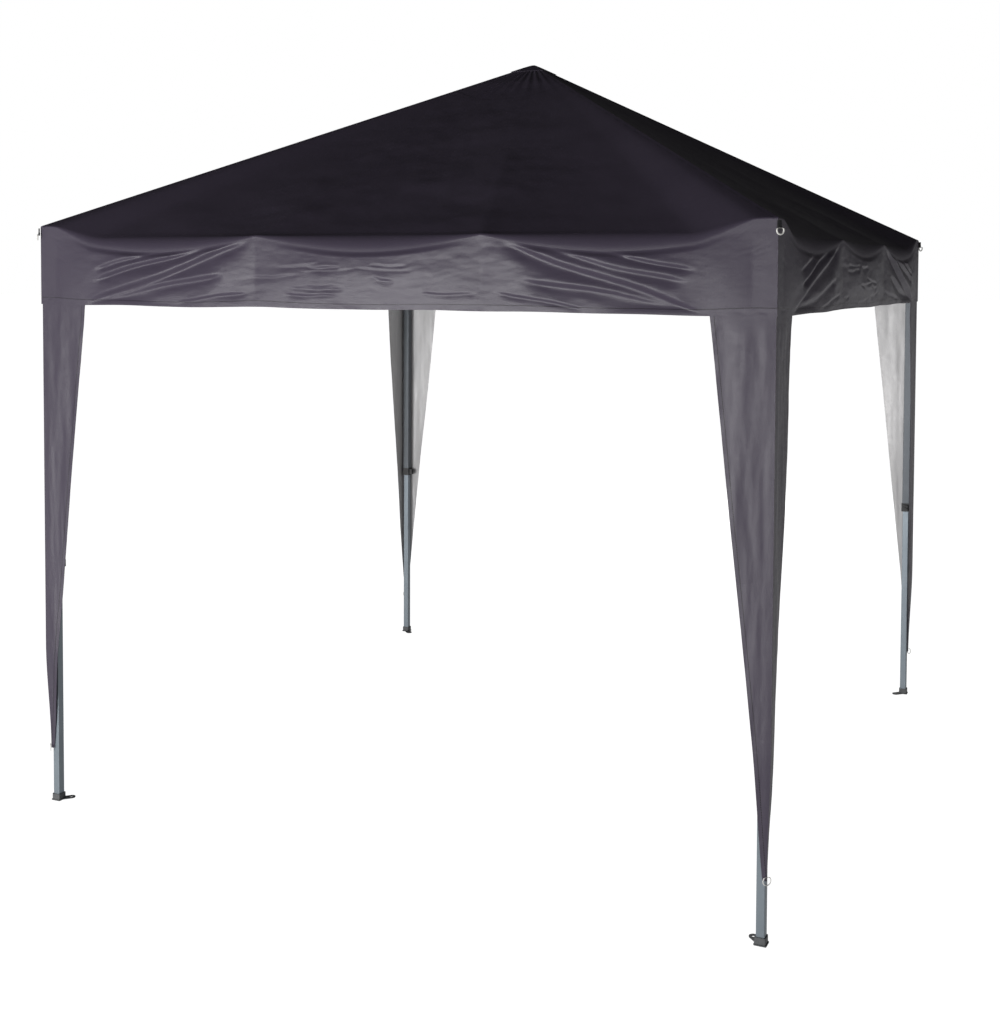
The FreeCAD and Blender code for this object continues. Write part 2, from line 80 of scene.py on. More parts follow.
# The valance's hem, and the curtain: half its cut width at the top and the tip, and its end.
VALANCE_END = 1.69
CURTAIN_WIDE = 0.182
CURTAIN_TIP = 0.012
CURTAIN_END = CANOPY_LOW.z
CLOTH = 0.0012

# The frame: its legs' axes and the truss joints under the eave. A bar's end is rounded about its
# pivot.
LEG_AXIS = 1.22
BAR_ROUND = 0.01
TRUSS_JOINT = BAR_ROUND - BAR_HIGH.x


def turned(number, point):
    """A point of the front side or of the front left corner, turned to another one."""
    return Matrix.Rotation(math.radians(90 * number), 3, "Z") @ Vector(point)


# --- shader maths -------------------------------------------------------------------------------


class Field:
    """A number that changes over a surface; Python's operators add Math nodes to it."""

    def __init__(self, shader, socket):
        self.shader = shader
        self.socket = socket

    def maths(self, operation, *values):
        return self.shader.node("ShaderNodeMath", {"operation": operation}, *values)

    def __add__(self, other):
        return self.maths("ADD", self, other)

    def __radd__(self, other):
        return self.maths("ADD", other, self)

    def __sub__(self, other):
        return self.maths("SUBTRACT", self, other)

    def __rsub__(self, other):
        return self.maths("SUBTRACT", other, self)

    def __mul__(self, other):
        return self.maths("MULTIPLY", self, other)

    def __rmul__(self, other):
        return self.maths("MULTIPLY", other, self)

    def __truediv__(self, other):
        return self.maths("DIVIDE", self, other)

    def __gt__(self, other):
        return self.maths("GREATER_THAN", self, other)

    def __lt__(self, other):
        return self.maths("LESS_THAN", self, other)

    def __abs__(self):
        return self.maths("ABSOLUTE", self)

    def __pow__(self, other):
        return self.maths("POWER", self, other)

    def __mod__(self, other):
        return self.maths("FLOORED_MODULO", self, other)

    def sine(self):
        return self.maths("SINE", self)

    def clamped(self):
        return self.maths("MAXIMUM", self.maths("MINIMUM", self, 1.0), 0.0)


class Nodes:
    """A node tree and short ways to add to it."""

    def __init__(self, tree):
        self.tree = tree

    def node(self, kind, settings, *values, output=0, **named):
        """Adds a node: its settings first, then its sockets, by order or by name."""
        made = self.tree.nodes.new(kind)
        for setting, choice in settings.items():
            setattr(made, setting, choice)
        for number, value in enumerate(values):
            if value is not None:
                self.feed(made.inputs[number], value)
        for name, value in named.items():
            self.feed(made.inputs[name], value)
        return Field(self, made.outputs[output])

    def feed(self, socket, value):
        if isinstance(value, Field):
            self.tree.links.new(value.socket, socket)
        else:
            socket.default_value = value

    def place(self):
        """Metres in the piece's own space."""
        return self.node("ShaderNodeTexCoord", {}, output="Object")

    def cloth_place(self):
        """Metres along and up the cloth, from its own map."""
        return self.node("ShaderNodeUVMap", {"uv_map": "cloth"})

    def stretched(self, vector, scale):
        return self.node("ShaderNodeMapping", {}, Vector=vector, Scale=scale)

    def parts_of(self, vector):
        """The three numbers of a vector."""
        split = self.node("ShaderNodeSeparateXYZ", {}, vector).socket.node
        return [Field(self, socket) for socket in split.outputs]

    def speckle(self, vector, scale, detail, rough):
        """Soft random spots."""
        return self.node(
            "ShaderNodeTexNoise", {}, Vector=vector, Scale=scale, Detail=detail, Roughness=rough
        )

    def mix(self, share, first, second):
        """A colour between two. The colour sockets come after the node's other five."""
        other = [None] * 5
        settings = {"data_type": "RGBA"}
        return self.node("ShaderNodeMix", settings, share, *other, first, second, output=2)

    def bump(self, height, distance, strength, normal=None):
        """The surface's normal, tilted by a height; a second bump may lie on a first."""
        extra = {} if normal is None else {"Normal": normal}
        return self.node(
            "ShaderNodeBump", {}, Height=height, Distance=distance, Strength=strength, **extra
        )


class Shader(Nodes):
    """One material, its nodes and its surface."""

    def __init__(self, name):
        self.material = bpy.data.materials.new(name)
        self.material.use_nodes = True
        super().__init__(self.material.node_tree)
        self.surface = self.tree.nodes["Principled BSDF"]

    def set(self, **values):
        """Sets or links sockets of the surface, such as Base_Color."""
        for name, value in values.items():
            self.feed(self.surface.inputs[name.replace("_", " ")], value)


def rgb(red, green, blue):
    """An opaque colour."""
    return (red, green, blue, 1.0)


# --- materials ----------------------------------------------------------------------------------

THREAD = 0.0011
STITCH_ROW = 0.0011
STITCH_PITCH = 0.006
STITCH_LENGTH = 0.0038
REINFORCED = 0.30
HIP_HEM = 0.010
VALANCE_HEM = 0.020
CURTAIN_HEM = 0.012
CURTAIN_SEAM = 0.008


def weave(shader, place):
    """Plain weave: threads that rise and dip along and up the cloth."""
    along, up, _ = shader.parts_of(place)
    return (along * (math.tau / THREAD)).sine() * (up * (math.tau / THREAD)).sine()


def stitches(along, up, distance):
    """1 on the stitches of a seam, where a distance in metres is zero."""
    row = abs(distance) < STITCH_ROW
    dash = ((along + up) % STITCH_PITCH) < STITCH_LENGTH
    return row * dash


def roof_seams(along, up):
    """The hip seams and the edge of the reinforcement around the peak."""
    down = (SLOPE_LENGTH - up) + RIM
    radius = (along * along + down * down) ** 0.5
    hip = down * math.cos(SLOPE) - abs(along)
    return stitches(along, up, radius - REINFORCED) + stitches(along, up, hip - HIP_HEM)


def valance_seams(along, up):
    """The hem."""
    return stitches(along, up, up - VALANCE_HEM)


def curtain_seams(along, up):
    """The hems of both slanted edges and the seam to the valance."""
    wide = up * ((CURTAIN_WIDE - CURTAIN_TIP) / (VALANCE_END - CURTAIN_END)) + CURTAIN_TIP
    top = VALANCE_END - CURTAIN_END - CURTAIN_SEAM
    edges = stitches(along, up, wide - abs(along) - CURTAIN_HEM)
    return edges + stitches(along, up, up - top)


def cloth_outside(name, seams):
    """Dark coated polyester, creased and slightly glossy."""
    shader = Shader(name)
    place = shader.cloth_place()
    along, up, _ = shader.parts_of(place)
    solid = shader.place()
    crumple = shader.speckle(shader.stretched(solid, (7.0, 7.0, 16.0)), 1.0, 5.0, 0.55)
    fine = shader.speckle(shader.stretched(solid, (1.0, 1.0, 2.2)), 42.0, 3.0, 0.6)
    shade = shader.speckle(solid, 3.0, 4.0, 0.6)
    seam = seams(along, up).clamped()
    dark = shader.mix(shade, rgb(0.050, 0.041, 0.062), rgb(0.066, 0.055, 0.080))
    base = shader.mix(seam, dark, rgb(0.010, 0.009, 0.011))
    height = crumple * 0.0008 + fine * 0.00022 - seam * 0.0004
    folded = shader.bump(height, 1.0, 0.9)
    threads = shader.bump(weave(shader, place), 0.00006, 0.5, folded)
    shader.set(
        Base_Color=base,
        Roughness=(fine * 0.14 + 0.30).clamped(),
        Specular_IOR_Level=0.3,
        Normal=threads,
    )
    return shader.material


def cloth_inside():
    """The silver coated back of the cloth, with painted fold shading in soft vertical streaks."""
    shader = Shader("cloth_inside")
    place = shader.cloth_place()
    solid = shader.place()
    crumple = shader.speckle(shader.stretched(solid, (9.0, 9.0, 9.0)), 1.0, 5.0, 0.55)
    # Soft vertical streaks of lighter and darker silver, painted into the colour as painted fold
    # shading.
    streak = shader.speckle(shader.stretched(solid, (45.0, 45.0, 3.0)), 1.0, 2.0, 0.5)
    fine = shader.speckle(solid, 60.0, 3.0, 0.6)
    base = shader.mix(streak, rgb(0.42, 0.414, 0.42), rgb(0.62, 0.612, 0.612))
    folded = shader.bump(crumple * 0.0014 + fine * 0.0002, 1.0, 0.9)
    threads = shader.bump(weave(shader, place), 0.00005, 0.4, folded)
    shader.set(
        Base_Color=base,
        Roughness=(fine * 0.2 + 0.34).clamped(),
        Metallic=0.15,
        Normal=threads,
    )
    return shader.material


def powder_coat(name, colour, lighter, rough):
    """Hammered powder coat on steel tube, with a few worn specks."""
    shader = Shader(name)
    solid = shader.place()
    hammer = shader.speckle(solid, 620.0, 2.0, 0.5)
    drift = shader.speckle(solid, 9.0, 4.0, 0.6)
    worn = shader.speckle(solid, 170.0, 4.0, 0.7) > 0.72
    base = shader.mix(worn, shader.mix(drift, colour, lighter), rgb(0.50, 0.50, 0.50))
    shader.set(
        Base_Color=base,
        Roughness=(hammer * 0.2 + (rough - 0.1)).clamped(),
        Metallic=0.55,
        Normal=shader.bump(hammer, 0.00012, 0.7),
    )
    return shader.material


def black_plastic():
    """Moulded black plastic with a fine grain and scuffs."""
    shader = Shader("black_plastic")
    solid = shader.place()
    grain = shader.speckle(solid, 1400.0, 2.0, 0.5)
    scuff = shader.speckle(shader.stretched(solid, (40.0, 40.0, 220.0)), 1.0, 5.0, 0.7)
    base = shader.mix(scuff, rgb(0.012, 0.012, 0.013), rgb(0.035, 0.035, 0.037))
    shader.set(
        Base_Color=base,
        Roughness=(scuff * 0.3 + 0.34).clamped(),
        Normal=shader.bump(grain, 0.00008, 0.6),
    )
    return shader.material


def zinc():
    """Plated rivets."""
    shader = Shader("zinc_rivet")
    solid = shader.place()
    bloom = shader.speckle(solid, 260.0, 4.0, 0.6)
    base = shader.mix(bloom, rgb(0.42, 0.42, 0.43), rgb(0.62, 0.62, 0.61))
    shader.set(
        Base_Color=base,
        Roughness=(bloom * 0.3 + 0.2).clamped(),
        Metallic=0.9,
        Normal=shader.bump(bloom, 0.0001, 0.4),
    )
    return shader.material


def foot_grey():
    """Dark grey moulded foot, scratched pale by the ground."""
    shader = Shader("foot_grey")
    solid = shader.place()
    grain = shader.speckle(solid, 900.0, 2.0, 0.5)
    scratch = shader.speckle(shader.stretched(solid, (60.0, 300.0, 90.0)), 1.0, 5.0, 0.7)
    base = shader.mix(scratch, rgb(0.05, 0.052, 0.056), rgb(0.14, 0.145, 0.15))
    shader.set(
        Base_Color=base,
        Roughness=(scratch * 0.3 + 0.4).clamped(),
        Normal=shader.bump(grain * 0.3 + scratch, 0.00025, 0.6),
    )
    return shader.material


def ring_white():
    """White moulded plastic with a little dirt."""
    shader = Shader("ring_white")
    solid = shader.place()
    dirt = shader.speckle(solid, 130.0, 4.0, 0.65)
    base = shader.mix(dirt, rgb(0.90, 0.89, 0.86), rgb(0.70, 0.69, 0.65))
    shader.set(
        Base_Color=base,
        Roughness=(dirt * 0.2 + 0.24).clamped(),
        Normal=shader.bump(dirt, 0.0001, 0.5),
    )
    return shader.material


def webbing():
    """Black woven strap, ribbed across its length."""
    shader = Shader("webbing")
    solid = shader.place()
    bands = {"wave_type": "BANDS", "bands_direction": "Z"}
    ribs = shader.node("ShaderNodeTexWave", bands, Vector=solid, Scale=420.0)
    fuzz = shader.speckle(solid, 700.0, 3.0, 0.6)
    base = shader.mix(ribs, rgb(0.008, 0.008, 0.009), rgb(0.03, 0.03, 0.032))
    shader.set(
        Base_Color=base,
        Roughness=(fuzz * 0.2 + 0.6).clamped(),
        Normal=shader.bump(ribs + fuzz * 0.3, 0.0003, 0.8),
    )
    return shader.material


ROOF_CLOTH = cloth_outside("roof_outside", roof_seams)
VALANCE_CLOTH = cloth_outside("valance_outside", valance_seams)
CURTAIN_CLOTH = cloth_outside("curtain_outside", curtain_seams)
INSIDE = cloth_inside()
# The upper legs and the mast wear this coat, painted darker than the lower legs' as painted shade:
# the same steel, shaded under the canopy.
LEG_STEEL_PAINTED_SHADE = powder_coat("leg_coat", rgb(0.085, 0.095, 0.105), rgb(0.125, 0.135, 0.15), 0.42)
LOWER_STEEL = powder_coat("lower_leg_coat", rgb(0.20, 0.235, 0.265), rgb(0.27, 0.31, 0.345), 0.38)
TRUSS_STEEL = powder_coat("truss_coat", rgb(0.22, 0.25, 0.28), rgb(0.30, 0.33, 0.37), 0.45)
PLASTIC = black_plastic()
ZINC = zinc()
FOOT = foot_grey()
WHITE = ring_white()
STRAP = webbing()

# --- finish of the frame's own pieces -----------------------------------------------------------

# How far a bar's face is from its middle plane, and how tall the plastic pieces at a leg's ends
# and at a lower leg's end are.
BAR_FACE = 0.0106
BRACKET_TALL = 0.05
COLLAR_TALL = 0.036
FOOT_TALL = 0.0225


def finish(name, *choices):
    """Gives a node its materials. Each choice is (material, test of a face's centre); the first
    one that fits is taken, and the last has no test."""
    mesh = frame["nodes"][name].data
    mesh.materials.clear()
    for material, _ in choices:
        mesh.materials.append(material)
    for face in mesh.polygons:
        centre = face.center
        face.material_index = next(
            number for number, (_, test) in enumerate(choices) if test is None or test(centre)
        )


def off_plane(direction, distance):
    """A test for what stands clear of the bars in a vertical plane: the rivet heads."""
    return lambda centre: abs(centre.dot(direction) - distance) > BAR_FACE


def leg_plastic(centre):
    """A test for the bracket at a leg's top and the collar at its lower end."""
    return centre.z > LEG_HIGH.z - BRACKET_TALL or centre.z < LEG_LOW.z + COLLAR_TALL


def finish_frame():
    """Steel bars and tubes with zinc rivets, black plastic fittings and grey feet."""
    for number, side in enumerate(SIDES):
        outward = turned(number, (0, -1, 0))
        for unit in (1, 2, 3):
            for way in ("falling", "rising"):
                rivets = off_plane(outward, LEG_AXIS)
                finish(f"{side}_truss_{unit}_{way}", (ZINC, rivets), (TRUSS_STEEL, None))
    for number, corner in enumerate(CORNERS):
        across = turned(number, (1, -1, 0)).normalized()
        for piece in ("outer_arm", "inner_arm", "brace"):
            rivets = off_plane(across, 0.0)
            finish(f"{piece}_{corner}", (ZINC, rivets), (TRUSS_STEEL, None))
        finish(f"leg_{corner}", (PLASTIC, leg_plastic), (LEG_STEEL_PAINTED_SHADE, None))
        foot = (FOOT, lambda centre: centre.z < FOOT_TALL)
        finish(f"lower_leg_{corner}", foot, (LOWER_STEEL, None))
        finish(f"slider_{corner}", (PLASTIC, None))
        finish(f"leg_lock_{corner}", (PLASTIC, None))
    finish("centre_hub", (PLASTIC, None))
    finish("peak_cap", (PLASTIC, None))
    finish("mast_tube", (LEG_STEEL_PAINTED_SHADE, None))
    finish("peak_pole", (LOWER_STEEL, None))


# --- the shape of the cloth ---------------------------------------------------------------------

# The eave: how far from the corner the leg's bracket holds it, how much lower it is past the
# corner and between two held places, and the roll with which the roof turns down, which takes
# the first share of a panel's rows.
BRACKET = 0.07
CORNER_DROP = 0.036
BAY_SAG = 0.016
TIGHT_ROLL = 0.006
LOOSE_ROLL = 0.052
ROLL_TURN = math.pi / 2 - SLOPE
ROLL_SHARE = 0.1

# The roof panel's sag, the valance's belly, and the room for cloth that folds inwards.
ROOF_SAG = 0.024
BELLY = 0.012
FOLD_ROOM = 0.0065

# The curtain hangs just inside the valance's corner, laps up behind it, and leans in to the
# lower leg at its tip.
CURTAIN_GAP = 0.0030
CURTAIN_LEAN = 0.0104
CURTAIN_LAP = 0.010


def between(low, high, value):
    """0 below low, 1 above high, and a smooth rise between them."""
    share = min(max((value - low) / (high - low), 0.0), 1.0)
    return share * share * (3 - 2 * share)


def slack(along):
    """0 where the frame holds the eave up, 1 midway between two such places."""
    place = abs(along)
    if place < TRUSS_JOINT:
        return math.sin(math.pi / 2 * (1 - place / TRUSS_JOINT)) ** 0.8
    share = min((place - TRUSS_JOINT) / (HALF - BRACKET - TRUSS_JOINT), 1.0)
    return math.sin(math.pi * share) ** 0.7


def eave_height(along):
    """The eave stands up over the leg and the truss joints and hangs a little between them."""
    from_corner = HALF - abs(along)
    return EAVE - CORNER_DROP * between(0.035, 0.24, from_corner) - BAY_SAG * slack(along)


def eave_roll(along):
    """How softly the roof turns down into the valance: a crease where it is held."""
    return TIGHT_ROLL + LOOSE_ROLL * slack(along) ** 1.5


def roll_reach(along):
    """How far the roll reaches up the roof and down the valance from their sharp corner."""
    return eave_roll(along) * math.tan(ROLL_TURN / 2)


def creases(point, seed, scale, stretch):
    """Soft random creases, drawn out along one direction."""
    place = Vector((point[0] * stretch[0], point[1] * stretch[1], seed * 7.3))
    return noise.fractal(place * scale, 0.9, 2.1, 4)


def ridge(value, width):
    """A soft ridge: 1 where the value is 0."""
    return math.exp(-((value / width) ** 2))


class Fold:
    """A pulled fold from one place of the valance to another: the cloth stands out a little
    just above its line and lies back below it."""

    def __init__(self, start, end, depth, width):
        self.start = Vector(start)
        self.span = Vector(end) - self.start
        self.length = self.span.length
        self.ahead = self.span.normalized()
        self.depth = depth
        self.width = width

    def height(self, along, above):
        """How far it moves the cloth out, at a distance along the eave and above the hem."""
        offset = Vector((along, above)) - self.start
        share = offset.dot(self.ahead) / self.length
        if share <= 0 or share >= 1:
            return 0.0
        side = self.ahead.x * offset.y - self.ahead.y * offset.x
        if abs(side) > 4 * self.width:
            return 0.0
        bow = 0.25 * self.width * math.sin(share * 5 + self.depth * 900) * share * (1 - share) * 4
        side -= bow
        wide = self.width * (0.35 + 0.65 * math.sin(math.pi * share) ** 0.7)
        fade = min(share / 0.14, 1.0) * min((1 - share) / 0.10, 1.0)
        over = 0.5 + 0.5 * math.tanh(side / (0.19 * self.width + 0.0014))
        shape = (1.35 * over - 1.0) * math.exp(-((abs(side) / wide) ** 1.4))
        return self.depth * fade * shape


# Both ends of the folds from a truss joint to the top of a leg curtain, as distance along the
# eave and height above the hem, then depth and width.
TENSION = [
    ((0.405, 0.209), (1.066, 0.002), 0.0170, 0.040),
    ((0.560, 0.194), (1.030, 0.078), 0.0125, 0.027),
    ((0.660, 0.200), (1.040, 0.112), 0.0080, 0.020),
    ((0.480, 0.104), (1.050, 0.006), 0.0120, 0.030),
    ((0.400, 0.056), (0.720, 0.010), 0.0050, 0.014),
]


def side_folds(seed):
    """All the folds of one valance: long ones from the truss joints, short ones by the corners
    and over the curtains, and loose ones in the middle."""
    chance = random.Random(seed)
    folds = []
    for way in (-1, 1):
        for start, end, depth, width in TENSION:
            near = start[0] + chance.uniform(0, 0.05)
            first = (way * near, start[1] + chance.uniform(-0.01, 0.004))
            far = end[0] - chance.uniform(0, 0.03)
            last = (way * far, end[1] + chance.uniform(0, 0.012))
            if way < 0:
                first, last = last, first
            deep = depth * chance.uniform(0.7, 1.15)
            folds.append(Fold(first, last, deep, width * chance.uniform(0.85, 1.1)))
        for _ in range(5):
            spot = (way * chance.uniform(1.13, 1.19), chance.uniform(0.12, 0.22))
            slant = chance.uniform(0.04, 0.07)
            tip = (spot[0] + 0.8 * way * slant, spot[1] + chance.uniform(0.2, 0.7) * slant)
            first, last = sorted((spot, tip))
            folds.append(Fold(first, last, 0.0010, 0.005))
        for _ in range(4):
            spot = (way * chance.uniform(1.09, 1.19), chance.uniform(0.006, 0.02))
            first, last = sorted((spot, (spot[0] + 0.05 * way, spot[1] + 0.004)))
            folds.append(Fold(first, last, 0.0012, 0.004))
    for _ in range(11):
        length = chance.uniform(0.07, 0.24)
        spot = (chance.uniform(-0.44, 0.40 - length), chance.uniform(0.02, 0.15))
        last = (spot[0] + length, spot[1] + chance.uniform(-0.022, 0.022))
        folds.append(Fold(spot, last, chance.uniform(0.0015, 0.0042), chance.uniform(0.009, 0.018)))
    return folds


def valance_wrinkle(along, height, seed, folds):
    """How far the valance stands out from its plane, in metres."""
    above = height - VALANCE_END
    edge = between(0.0, 0.03, HALF - abs(along))
    held = between(0.10, 0.24, HALF - abs(along))
    long_creases = creases((along, height), seed, 4.0, (1.0, 3.2))
    small = creases((along, height), seed + 5, 20.0, (1.0, 2.2))
    pulled = sum(fold.height(along, above) for fold in folds)
    soft = held * (0.0020 * long_creases + 0.0002 * small) + 0.0002 * small
    belly = BELLY * slack(along) * math.sin(math.pi * min(max(above / 0.22, 0), 1))
    out = edge * (pulled + soft + belly)
    room = 0.0003 + FOLD_ROOM * between(0.0, 0.035, above)
    return out if out > 0 else -room * math.tanh(-out / room)


def roof_point(across, share, seed):
    """A point of the front roof panel: across from -1 to 1, share from 0 at the eave's roll to 1
    at the rim of the peak cap."""
    along = across * HALF
    roll = eave_roll(along)
    high = eave_height(along)
    foot = roll_reach(along)
    if share < ROLL_SHARE:
        bend = math.pi - ROLL_TURN * share / ROLL_SHARE
        y = -HALF + roll + roll * math.cos(bend)
        z = high - foot + roll * math.sin(bend)
        return Vector((across * abs(y), y, z))
    rise = (share - ROLL_SHARE) / (1 - ROLL_SHARE)
    start_y = -HALF + foot * math.cos(SLOPE)
    start_z = high + foot * math.sin(SLOPE)
    y = start_y + (-RIM - start_y) * rise
    z = PEAK + y * math.tan(SLOPE)
    z += (start_z - (PEAK + start_y * math.tan(SLOPE))) * (1 - rise) ** 2.6
    hips = 1 - across * across
    z -= ROOF_SAG * hips * math.sin(math.pi * min(1.0, rise * 1.1 + 0.02)) ** 0.8
    soft = creases((along * (1 - rise), y), seed, 3.2, (1.0, 1.6))
    small = creases((along * (1 - rise), y), seed + 3, 13.0, (1.0, 1.4))
    middle = between(0.0, 0.08, rise) * (1 - between(0.84, 0.97, rise))
    z += hips * middle * (0.006 * soft + 0.0009 * small)
    z += 0.0016 * hips * math.sin(across * 30 + seed) * ridge(rise - 0.93, 0.10)
    return Vector((across * abs(y), y, z))


def valance_point(across, share, seed, folds):
    """A point of the front valance: share from 0 at its hem to 1 at the eave's roll. Its two
    end edges lie on the hip planes, where the next side's begin."""
    along = across * HALF
    top = eave_height(along) - roll_reach(along)
    edge = between(0.0, 0.10, HALF - abs(along))
    low = VALANCE_END + edge * 0.004 * noise.noise(Vector((along * 4, seed, 0.5)))
    height = low + (top - low) * share
    out = valance_wrinkle(along, height, seed, folds) * (1 - between(0.90, 1.0, share))
    y = -HALF - out
    if abs(across) == 1:
        along = across * abs(y)
    return Vector((along, y, height))


# --- cloth pieces -------------------------------------------------------------------------------


def only(thing):
    """Selects one object and nothing else."""
    bpy.ops.object.select_all(action="DESELECT")
    thing.select_set(True)
    bpy.context.view_layer.objects.active = thing


def apply_place(thing):
    """Puts the object's place, turn and scale into its mesh."""
    only(thing)
    bpy.ops.object.transform_apply(location=True, rotation=True, scale=True)


def modify(thing, kind, **settings):
    """Adds a modifier and applies it."""
    only(thing)
    modifier = thing.modifiers.new(kind.title(), kind)
    for setting, choice in settings.items():
        setattr(modifier, setting, choice)
    bpy.ops.object.modifier_apply(modifier=modifier.name)


def smooth(thing, degrees):
    """Smooths every edge that turns less than an angle."""
    only(thing)
    bpy.ops.object.shade_smooth_by_angle(angle=math.radians(degrees))


def line_cloth(sheet, outside):
    """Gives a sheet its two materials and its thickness."""
    sheet.data.materials.append(outside)
    sheet.data.materials.append(INSIDE)
    modify(sheet, "SOLIDIFY", thickness=CLOTH, offset=-1.0, material_offset=1)
    smooth(sheet, 50)


def cloth(name, cells, outside, point, half_wide, tall, number):
    """A sheet of cloth. point(across, share) places a front or front left one and number turns
    it; half_wide(share) and tall are its cut size, which its map follows in metres."""
    columns, rows = cells
    bpy.ops.object.select_all(action="DESELECT")
    bpy.ops.mesh.primitive_grid_add(x_subdivisions=columns, y_subdivisions=rows, size=2)
    sheet = bpy.context.object
    sheet.name = name
    sheet.data.name = name
    sheet.data.uv_layers[0].name = "cloth"
    layer = sheet.data.uv_layers["cloth"].data
    for loop in sheet.data.loops:
        across, up = sheet.data.vertices[loop.vertex_index].co[:2]
        share = (up + 1) / 2
        layer[loop.index].uv = (across * half_wide(share), share * tall)
    for vertex in sheet.data.vertices:
        vertex.co = turned(number, point(vertex.co.x, (vertex.co.y + 1) / 2))
    line_cloth(sheet, outside)
    return sheet


def make_roof(number, side):
    """A roof panel, which narrows as the frame folds."""
    seed = 11.0 + 4.7 * number
    roof = cloth(
        f"roof_{side}",
        (150, 84),
        ROOF_CLOTH,
        lambda across, share: roof_point(across, share, seed),
        lambda share: HALF + (RIM - HALF) * share,
        SLOPE_LENGTH,
        number,
    )
    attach(roof, f"canopy_{side}")
    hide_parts(f"canopy_{side}")
    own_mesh(roof)


def make_valance(number, side):
    """A valance, which travels with one leg and narrows towards it as the frame folds."""
    seed = 3.0 + 2.9 * number
    folds = side_folds(seed)
    flat = (2 * HALF, EAVE - CORNER_DROP - VALANCE_END)
    valance = cloth(
        f"valance_{side}",
        (330, 60),
        VALANCE_CLOTH,
        lambda across, share: valance_point(across, share, seed, folds),
        lambda share: HALF,
        flat[1],
        number,
    )
    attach(valance, f"leg_{CORNERS[number]}")
    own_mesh(valance)


def curtain_half(share):
    """Half the cut width of a leg curtain, from its tip to the valance."""
    return CURTAIN_TIP + (CURTAIN_WIDE - CURTAIN_TIP) * share


def curtain_point(across, share, seed):
    """A point of the front left leg curtain, which wraps the corner. across is -1 on the left
    side's edge, 0 at the corner and 1 on the front's edge; share is 0 at the tip."""
    height = CURTAIN_END + (VALANCE_END + CURTAIN_LAP - CURTAIN_END) * share
    lean = CURTAIN_LEAN * (1 - between(0.0, 0.24, share))
    corner = HALF - CURTAIN_GAP - lean
    distance = abs(across) * curtain_half(share)
    side_seed = seed + (2.0 if across > 0 else 0.0)
    streak = creases((distance, height), side_seed, 9.0, (2.4, 0.30))
    crumple = creases((distance, height), side_seed + 9, 9.0, (1.6, 1.3))
    top = ridge(share - 0.94, 0.10)
    wave = 0.0018 * streak + (0.0003 + 0.0010 * top) * crumple
    curl = 0.002 * between(0.55, 1.0, abs(across)) * math.sin(height * 7 + seed)
    low = between(0.0, 0.05, VALANCE_END - height)
    inward = -(wave * (0.05 + 0.95 * low) + curl * low) + 0.004 * (1 - share) * abs(across)
    first = -corner + distance
    second = -corner + inward * between(0.0, 0.03, distance)
    if across >= 0:
        return Vector((first, second, height))
    return Vector((second, first, height))


def make_curtain(number, corner):
    """A leg curtain, which gathers upwards as the lower leg slides in."""
    seed = 31.0 + 6.1 * number
    tall = VALANCE_END - CURTAIN_END
    curtain = cloth(
        f"curtain_{corner}",
        (48, 150),
        CURTAIN_CLOTH,
        lambda across, share: curtain_point(across, share, seed),
        curtain_half,
        tall,
        number,
    )
    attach(curtain, f"leg_{corner}")
    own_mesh(curtain)


# --- rings, straps, loops and the peak patch ----------------------------------------------------

# Where the guy ring stands off the front left corner, where its strap is from there, and how
# far the tip loop is from the leg's axis on both sides.
RING_OUT = 0.010
RING_HEIGHT = 1.916
RING_PLACE = Vector((-HALF, -HALF, 0)) - Vector((1, 1, 0)).normalized() * RING_OUT
STRAP_OFFSET = Vector((0.0036, 0.0036, 0.0150))
LOOP_OFFSET = 0.0182

# Half the peak patch's width, how blunt its tip is, and how far it lies over the peak.
PATCH = 0.066
PATCH_TIP = 0.008
PATCH_LIFT = 0.0032


def ring(name, radius, wire, squeeze):
    """A D shaped ring in the XZ plane: a torus with its upper side pushed nearly flat."""
    bpy.ops.object.select_all(action="DESELECT")
    bpy.ops.mesh.primitive_torus_add(
        major_radius=radius,
        minor_radius=wire,
        major_segments=40,
        minor_segments=12,
        rotation=(math.pi / 2, 0, 0),
    )
    made = bpy.context.object
    made.name = name
    apply_place(made)
    for vertex in made.data.vertices:
        over = vertex.co.z - radius * squeeze
        if over > 0:
            vertex.co.z = radius * squeeze + over * 0.25
    made.data.materials.append(WHITE)
    smooth(made, 60)
    return made


def place_at_corner(thing, number, spot):
    """Moves a piece made at the origin to a place of the front left corner, facing out of it,
    and turns it to another corner."""
    thing.location = turned(number, spot)
    thing.rotation_euler = (0, 0, math.radians(90 * number - 45))
    apply_place(thing)


def make_guy_ring(number, corner):
    """The ring for a guy rope, just outside the corner."""
    made = ring(f"guy_ring_{corner}", 0.0105, 0.0022, 0.45)
    place_at_corner(made, number, RING_PLACE + Vector((0, 0, RING_HEIGHT)))
    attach(made, f"leg_{corner}")


def make_ring_strap(number, corner):
    """The folded strap that sews the ring to the corner."""
    bpy.ops.object.select_all(action="DESELECT")
    bpy.ops.mesh.primitive_cube_add(size=1)
    strap = bpy.context.object
    strap.name = f"ring_strap_{corner}"
    strap.scale = (0.012, 0.0040, 0.024)
    apply_place(strap)
    bpy.ops.object.mode_set(mode="EDIT")
    bpy.ops.mesh.subdivide(number_cuts=3)
    bpy.ops.object.mode_set(mode="OBJECT")
    for vertex in strap.data.vertices:
        if vertex.co.z < 0:
            vertex.co.y *= 1.0 + 0.5 * math.sin(vertex.co.z / 0.015 * math.pi) ** 2
    strap.data.materials.append(STRAP)
    modify(strap, "BEVEL", width=0.0008, segments=2)
    place_at_corner(strap, number, RING_PLACE + Vector((0, 0, RING_HEIGHT)) + STRAP_OFFSET)
    smooth(strap, 50)
    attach(strap, f"leg_{corner}")


